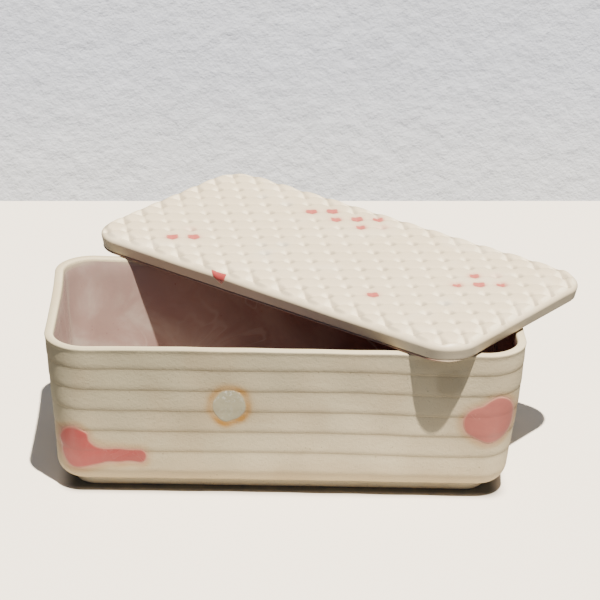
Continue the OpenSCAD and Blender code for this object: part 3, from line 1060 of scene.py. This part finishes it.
class BOBBIN_OT_marks(bpy.types.Operator):
    """Lays the three glaze marks on the front wall"""

    bl_idname = "bobbin.marks"
    bl_label = "Marks on the wall"

    def execute(self, context):
        box = box_sizes()
        thick = glaze_look().mark_t * MM
        pink, ash = pink_material(), ash_material()

        def on_wall(x, z):
            return front_face(x, z, box, 0.5)

        def darker_pink(x, z):
            return -0.36 * smooth(-84.0, -72.0, x)

        # the four numbers are the room to the left, to the right, below and above the place
        marks = (
            ("ash_dot", ash_gap, ASH_PLACE, (11.5, 11.5, 11.5, 11.5), "ash_mark", "ash_glaze",
             ash, 0.0),
            ("pink_round", blob_gap, BLOB_PLACE, (14.5, 13.5, 14.5, 14.5), "pink_blob",
             "pink_glaze", pink, 0.55),
            ("pink_long", boot_gap, BOOT_PLACE, (10.1, 35.5, 14.5, 10.5), "pink_boot",
             "pink_glaze", pink, darker_pink),
        )
        for name, gap, (x, z), room, cad, slot, material, tint in marks:
            spans = (x - room[0], x + room[1], z - room[2], z + room[3])
            glaze_skin(gap, on_wall, spans, thick, name, "box", cad, material, tint=tint)
        return {"FINISHED"}


class BOBBIN_OT_lid(bpy.types.Operator):
    """Builds the lid's slab with its field of domes"""

    bl_idname = "bobbin.lid"
    bl_label = "Lid with domes"

    def execute(self, context):
        lid = lid_sizes()
        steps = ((380, 190, 30))
        up, skirt, lip, side_in = lid.upper_round, lid.skirt, lid.lip, -lid.draft
        soft, lip_out, tuck, lip_deep, rim_wave = 0.42, 0.14, 0.28, 2.6, 0.12
        size = (lid.lid_l, lid.lid_w, lid.lid_r)
        grid, plan = rounded_grid(size, steps, up), outline(size, steps)
        top = lid_surface(grid[..., 0], grid[..., 1], lid)
        facing = np.abs(plan[1][:, 1])
        level = np.linspace(lid.lid_t - up, soft - skirt, 11)[1:]
        fall = (lid.lid_t - up - level) / (lid.lid_t - up + skirt)
        upper = arc((-up, lid.lid_t - up), up, 90, 0, 10)[1:]
        profile = np.concatenate([
            upper,
            np.stack([side_in * fall, level], axis=1),
            arc((side_in - soft, soft - skirt), soft, 0, -70, 5)[1:],
            arc((side_in + lip_out - lip / 2, -skirt - lip / 2), lip / 2, 75, -90, 8),
            [[side_in - lip_deep, -skirt - lip], [side_in - lip_deep - 0.2, 0.0]],
        ])
        rings = carried(plan, profile)
        x, y, z = (rings[..., axis] for axis in range(3))
        z += rim_wave * flat_waves(x, y, 40.0, 51) * smooth(0.0, 1.0, z)
        short_side = 1.0 - smooth(0.1, 0.8, facing)[:, None]
        below = np.minimum(z + skirt, 0.0)
        proud = (below < 0) * np.maximum(profile[:, 0] - side_in + tuck, 0.0)
        z -= below * short_side
        rings[..., :2] -= plan[1][:, None, :] * (proud * short_side)[..., None]
        arched = np.s_[:, :len(upper)]
        z[arched] += lid_top(x[arched], y[arched], lid) - lid.lid_t
        rows, columns = z.shape
        total = grid[..., 0].size
        rim = edge_order(*grid.shape[:2])
        first = total + np.arange(rows) * columns
        collar = np.stack([rim, first, np.roll(first, -1), np.roll(rim, -1)], axis=-1)
        faces = np.concatenate([
            grid_faces(*grid.shape[:2]), collar, ring_faces(rows, columns, first=total)
        ])
        points = np.concatenate([top.reshape(-1, 3), rings.reshape(-1, 3)])
        x, y, z = points.T
        on_top = z > lid.lid_t - 1.8
        long_side = np.repeat(smooth(0.8, 1.0, facing), columns)
        long_side = np.concatenate([np.zeros(total), long_side])
        masks = {
            # The dome mask is low in each pit, set off its centre towards the side away from the
            # key: painted shade.
            "dome": np.where(on_top, 1.0 - dome_relief(x - 1.0, y + 0.4, lid)[1], 0.9),
            # Which way each dome faces, for painted shade on its left and painted light on its
            # right.
            "dome_light_and_shade": np.where(on_top, dome_side(x, y, lid), 0.5),
            "blush": stained(x, y, PITS, 2.5, 1.0, lid) * on_top,
            "smudge": stained(x, y, GREY_PITS, 2.2, 1.3, lid) * on_top,
            # Painted shade down the side, strongest on the long sides.
            "side": smooth(lid.lid_t - 0.8, lid.lid_t - 3.6, z) * (0.45 + 0.55 * long_side),
            "under": 0.7 * smooth(0.3 - skirt, 0.05 - skirt, z),
            "strip": smooth(0.05 - skirt, -0.2 - skirt, z) * long_side,
        }
        make_piece(
            "domed_lid", on_lid(points, lid), faces, "lid", "lid_slab",
            lid_material(), masks, [first[::-1] + columns - 1],
        )
        return {"FINISHED"}


class BOBBIN_OT_ring(bpy.types.Operator):
    """Builds the locating ring under the lid"""

    bl_idname = "bobbin.ring"
    bl_label = "Locating ring"

    def execute(self, context):
        box, lid = box_sizes(), lid_sizes()
        plan = outline(rim_size(box), (120, 50, 10), box.wall_t + lid.ring_play)
        r, w, deep = lid.ring_round, lid.ring_w, RING_HIGH.z - RING_LOW.z
        profile = np.concatenate([
            [[0.0, 0.0]],
            arc((-r, r - deep), r, 0, -90, 5),
            arc((r - w, r - deep), r, -90, -180, 5),
            [[-w, 0.0]],
        ])
        rings = carried(plan, profile)
        bare = smooth(0.5 - deep, 0.15 - deep, rings[..., 2])
        make_piece(
            "locating_ring", on_lid(rings, lid), ring_faces(*rings.shape[:2], closed=1), "lid",
            "lid_ring", bpy.data.materials["Dusky pink glaze"],
            # The ring takes a steady share of the darker inside colour: painted shade under the
            # lid.
            {"bare": bare, "deep": np.full(bare.shape, 0.4)},
        )
        return {"FINISHED"}


class BOBBIN_OT_pools(bpy.types.Operator):
    """Fills some pits between the domes with pink glaze"""

    bl_idname = "bobbin.pools"
    bl_label = "Glaze in the pits"

    def execute(self, context):
        lid = lid_sizes()
        thick = glaze_look().pool_t * MM
        reach, least = 5.0, 0.6

        def on_top(x, y):
            return on_lid(lid_surface(x, y, lid), lid)

        for count, (a, b, force) in enumerate(pit_places(PITS, lid)):
            if force < least:
                continue

            def gap(x, y):
                diamond = (np.abs(x - a) + np.abs(y - b)) / ROOT2
                away = np.hypot(diamond, 0.7 * np.hypot(x - a, y - b))
                return away - 3.3 * force + 0.3 * flat_waves(x, y, 3.5, 60 + count)

            glaze_skin(
                gap, on_top, (a - reach, a + reach, b - reach, b + reach), thick,
                f"pit_pool_{count:02d}", "lid", "pit_glaze",
                bpy.data.materials["Pink glaze"], step=0.3, bed=0.3, tint=0.28,
            )
        return {"FINISHED"}


class BOBBIN_OT_drip(bpy.types.Operator):
    """Runs a drip of pink glaze down the lid's front edge"""

    bl_idname = "bobbin.drip"
    bl_label = "Drip on the lid's edge"

    def execute(self, context):
        lid = lid_sizes()
        up, lie, thick = lid.upper_round, 4.0, 0.4
        bend = up * math.pi / 2
        side = lid.lid_t - up - 0.2
        end = lie + bend + side

        def on_edge(down, x):
            """Surface from the domes over the edge and down the side; down is a length."""
            turn = np.clip((down - lie) / up, 0.0, math.pi / 2)
            fall = np.clip(down - lie - bend, 0.0, side)
            y = -lid.lid_w / 2 + up + lie - np.minimum(down, lie)
            y = y - up * np.sin(turn) + lid.draft * fall / (lid.lid_t - up)
            z = lid_top(x, y, lid) - up * (1.0 - np.cos(turn))
            return on_lid(np.stack([x, y, z - fall], axis=-1), lid)

        def gap(down, x):
            t = np.clip((down - 3.0) / (bend + side), 0.0, 1.0)
            half = 5.6 * (1.0 - t) ** 0.8 + 0.6
            across = np.abs(x - DRIP_X - 3.4 * t) - half
            ends = np.maximum(4.2 - down, down - end + 0.4)
            return np.maximum(across, ends) + 0.3 * flat_waves(x, down, 5.0, 71)

        # Deeper pink over the whole drip; the extra depth over the edge and down the side is
        # painted shade.
        def darker_pink(down, x):
            return -0.25 - 0.5 * smooth(4.0, 9.0, down)

        glaze_skin(
            gap, on_edge, (1.5, end, DRIP_X - 8.0, DRIP_X + 9.0), thick, "edge_run", "lid",
            "edge_drip", bpy.data.materials["Pink glaze"], step=0.3, bed=0.3,
            tint=darker_pink,
        )
        return {"FINISHED"}


class BOBBIN_OT_studio(bpy.types.Operator):
    """Sets up the table, the wall behind, the light and the camera"""

    bl_idname = "bobbin.studio"
    bl_label = "Studio"

    def execute(self, context):
        look = context.scene.bobbin_studio
        turned = Matrix.Rotation(look.seam_turn, 3, "Z")
        wide, near, high = 4.0, 3.0, 2.5
        seam, rise = Vector((0.0, look.seam_y, 0.0)), Vector((0.0, 0.0, high))
        left, right = (seam + turned @ Vector((x, 0.0, 0.0)) for x in (-wide, wide))
        ahead = turned @ Vector((0.0, -near, 0.0))
        sheets = (
            ("table", (left, left + ahead, right + ahead, right), table_material()),
            ("backdrop", (right, right + rise, left + rise, left), backdrop_material()),
        )
        for name, corners, material in sheets:
            mesh = bpy.data.meshes.new(name)
            mesh.from_pydata(corners, [], [(0, 1, 2, 3)])
            mesh.materials.append(material)
            sheet = new_object(name, mesh)
        self.light(context.scene, look)
        self.aim_camera(context.scene, look)
        return {"FINISHED"}

    def light(self, scene, look):
        lamp = bpy.data.lights.new("key", "AREA")
        lamp.shape = "DISK"
        lamp.size = look.key_size
        lamp.energy = look.key_power
        lamp.color = look.key_colour
        towards = look.key_from.normalized()
        key = new_object("key", lamp)
        key.location = towards * look.key_distance
        key.rotation_euler = towards.to_track_quat("Z", "Y").to_euler()
        world = bpy.data.worlds.new("soft light")
        world.use_nodes = True
        background = world.node_tree.nodes["Background"].inputs
        background["Color"].default_value = (*look.fill_colour, 1.0)
        background["Strength"].default_value = look.fill
        scene.world = world

    def aim_camera(self, scene, look):
        data = bpy.data.cameras.new("camera")
        data.lens = look.lens
        data.sensor_width = 36.0
        data.clip_end = 20.0
        camera = new_object("camera", data)
        pose = (
            Matrix.Rotation(look.azimuth, 4, "Z")
            @ Matrix.Rotation(math.pi / 2 - look.elevation, 4, "X")
            @ Matrix.Rotation(look.roll, 4, "Z")
        )
        camera.matrix_world = Matrix.Translation(look.aim) @ pose @ (
            Matrix.Translation((0.0, 0.0, look.distance))
        )
        scene.camera = camera


class BOBBIN_PT_panel(bpy.types.Panel):
    """Lists the pieces, the sizes and the looks of the bobbin box"""

    bl_idname = "BOBBIN_PT_panel"
    bl_label = "Bobbin box"
    bl_space_type = "VIEW_3D"
    bl_region_type = "UI"
    bl_category = "Bobbin box"

    def draw(self, context):
        for operator in OPERATORS:
            self.layout.operator(operator.bl_idname)
        for group in GROUPS:
            for name in group[1].__annotations__:
                self.layout.prop(getattr(context.scene, group[0]), name)


GROUPS = (
    ("bobbin_box_sizes", BobbinBoxSizes),
    ("bobbin_lid_sizes", BobbinLidSizes),
    ("bobbin_glaze_look", BobbinGlazeLook),
    ("bobbin_studio", BobbinStudio),
)
OPERATORS = (
    BOBBIN_OT_wall, BOBBIN_OT_floor, BOBBIN_OT_lining, BOBBIN_OT_marks, BOBBIN_OT_lid,
    BOBBIN_OT_ring, BOBBIN_OT_pools, BOBBIN_OT_drip, BOBBIN_OT_studio,
)


def register():
    for name, group in GROUPS:
        bpy.utils.register_class(group)
        setattr(bpy.types.Scene, name, PointerProperty(type=group))
    for operator in OPERATORS:
        bpy.utils.register_class(operator)
    bpy.utils.register_class(BOBBIN_PT_panel)


def unregister():
    bpy.utils.unregister_class(BOBBIN_PT_panel)
    for operator in reversed(OPERATORS):
        bpy.utils.unregister_class(operator)
    for name, group in reversed(GROUPS):
        delattr(bpy.types.Scene, name)
        bpy.utils.unregister_class(group)


def main():
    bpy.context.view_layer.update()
    register()
    bpy.ops.bobbin.wall()
    bpy.ops.bobbin.floor()
    bpy.ops.bobbin.lining()
    bpy.ops.bobbin.marks()
    bpy.ops.bobbin.lid()
    bpy.ops.bobbin.ring()
    bpy.ops.bobbin.pools()
    bpy.ops.bobbin.drip()
    bpy.ops.bobbin.studio()


if __name__ == "__main__":
    main()
